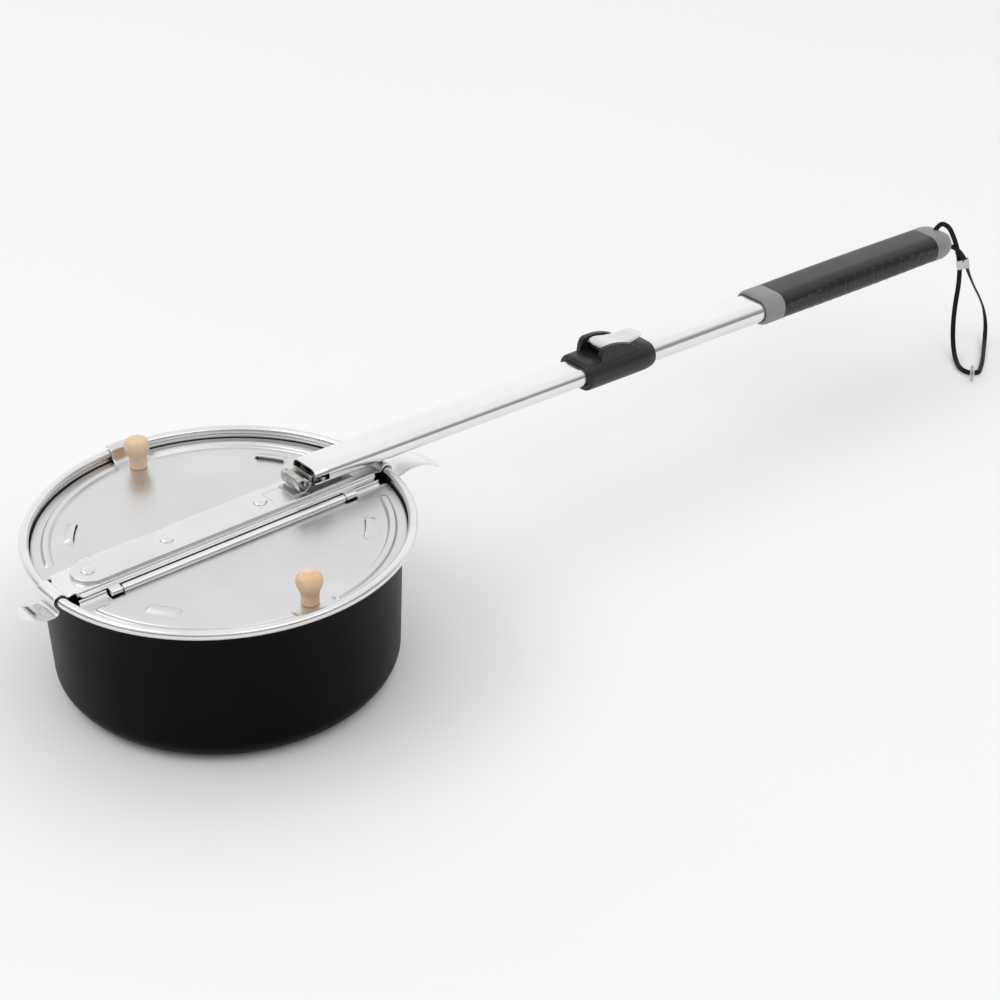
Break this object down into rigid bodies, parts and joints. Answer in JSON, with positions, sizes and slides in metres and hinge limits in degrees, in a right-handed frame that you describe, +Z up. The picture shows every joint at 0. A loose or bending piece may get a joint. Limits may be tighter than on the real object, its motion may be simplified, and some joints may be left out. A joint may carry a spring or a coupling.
{
  "type": "open-fire popcorn maker",
  "caption": "Round black pan with a two-flap hinged lid, wooden knobs, riveted handle plate and a telescoping handle with cam lock, ribbed grip and wrist strap.",
  "frame": {"origin": "centre of the pan's flat base, on the surface it stands on", "axes": "+X along the handle, away from the pan; +Z up; +Y to the rear flap"},
  "size_m": [0.8485, 0.2402, 0.1253],
  "materials": {
    "pan": "satin black coating",
    "rim_ring": "bright rolled steel",
    "crossbar": "mill finish",
    "flap_front": "mill finish",
    "flap_rear": "mill finish",
    "hinge_rods": "plain wire",
    "knobs": "light sanded wood",
    "screws": "zinc",
    "handle_plate": "mill finish",
    "plate_rivets": "set rivets",
    "tube_tongue": "plain steel",
    "spring_latch": "spring steel",
    "tubes": "satin polished",
    "tube_end_plug": "moulded",
    "lock_body": "fine moulded",
    "lock_lever": "polished chrome plate",
    "lever_pin": "ground pin",
    "brake_shoe": "moulded",
    "grip_caps": "fine moulded",
    "grip_sleeve": "satin moulded rubber",
    "strap": "woven nylon",
    "strap_metal": "bright crimp"
  },
  "bodies": {
    "pan": {"pan": "pan", "rim_ring": "rim_ring"},
    "lid": {"crossbar": "crossbar", "hinge_rod_front": "hinge_rods", "hinge_rod_rear": "hinge_rods", "handle_plate": "handle_plate", "plate_rivets": "plate_rivets", "tube_tongue": "tube_tongue"},
    "flap_front": {"flap_front": "flap_front", "knob_front": "knobs", "knob_screw_front": "screws"},
    "flap_rear": {"flap_rear": "flap_rear", "knob_rear": "knobs", "knob_screw_rear": "screws"},
    "latch": {"spring_latch": "spring_latch"},
    "handle_inner": {"inner_tube": "tubes", "tube_end_plug": "tube_end_plug"},
    "handle_outer": {"outer_tube": "tubes", "lock_body": "lock_body", "lever_pin": "lever_pin", "grip_collar": "grip_caps", "grip_sleeve": "grip_sleeve", "end_cap": "grip_caps", "strap": "strap", "strap_crimp": "strap_metal", "strap_ring": "strap_metal"},
    "lever": {"lock_lever": "lock_lever"},
    "shoe": {"brake_shoe": "brake_shoe"}
  },
  "joints": [
    {"name": "lid_lift", "type": "slide", "parent": "pan", "child": "lid", "axis": [0, 0, 1], "range_m": [0, 0.15]},
    {"name": "flap_front_open", "type": "hinge", "parent": "lid", "child": "flap_front", "pos_m": [0, -0.019, 0.0969], "axis": [-1, 0, 0], "range_deg": [0, 85]},
    {"name": "flap_rear_open", "type": "hinge", "parent": "lid", "child": "flap_rear", "pos_m": [0, 0.019, 0.0969], "axis": [1, 0, 0], "range_deg": [0, 85]},
    {"name": "latch_press", "type": "slide", "parent": "lid", "child": "latch", "axis": [0.9997, 0, -0.0253], "range_m": [0, 0.003], "stiffness_N_per_m": 1500},
    {"name": "handle_detach", "type": "slide", "parent": "lid", "child": "handle_inner", "axis": [0.9997, 0, -0.0253], "range_m": [0, 0.2]},
    {"name": "handle_telescope", "type": "slide", "parent": "handle_inner", "child": "handle_outer", "axis": [0.9997, 0, -0.0253], "range_m": [-0.11, 0.09]},
    {"name": "lock_lever_open", "type": "hinge", "parent": "handle_outer", "child": "lever", "pos_m": [0.3083, 0, 0.1215], "axis": [0, -1, 0], "range_deg": [0, 70]},
    {"name": "brake_release", "type": "slide", "parent": "handle_outer", "child": "shoe", "axis": [0.0253, 0, 0.9997], "range_m": [0, 0.0003]}
  ],
  "couplings": [
    {"joint": "brake_release", "follows": "lock_lever_open", "m_per_rad": 0.0002}
  ]
}
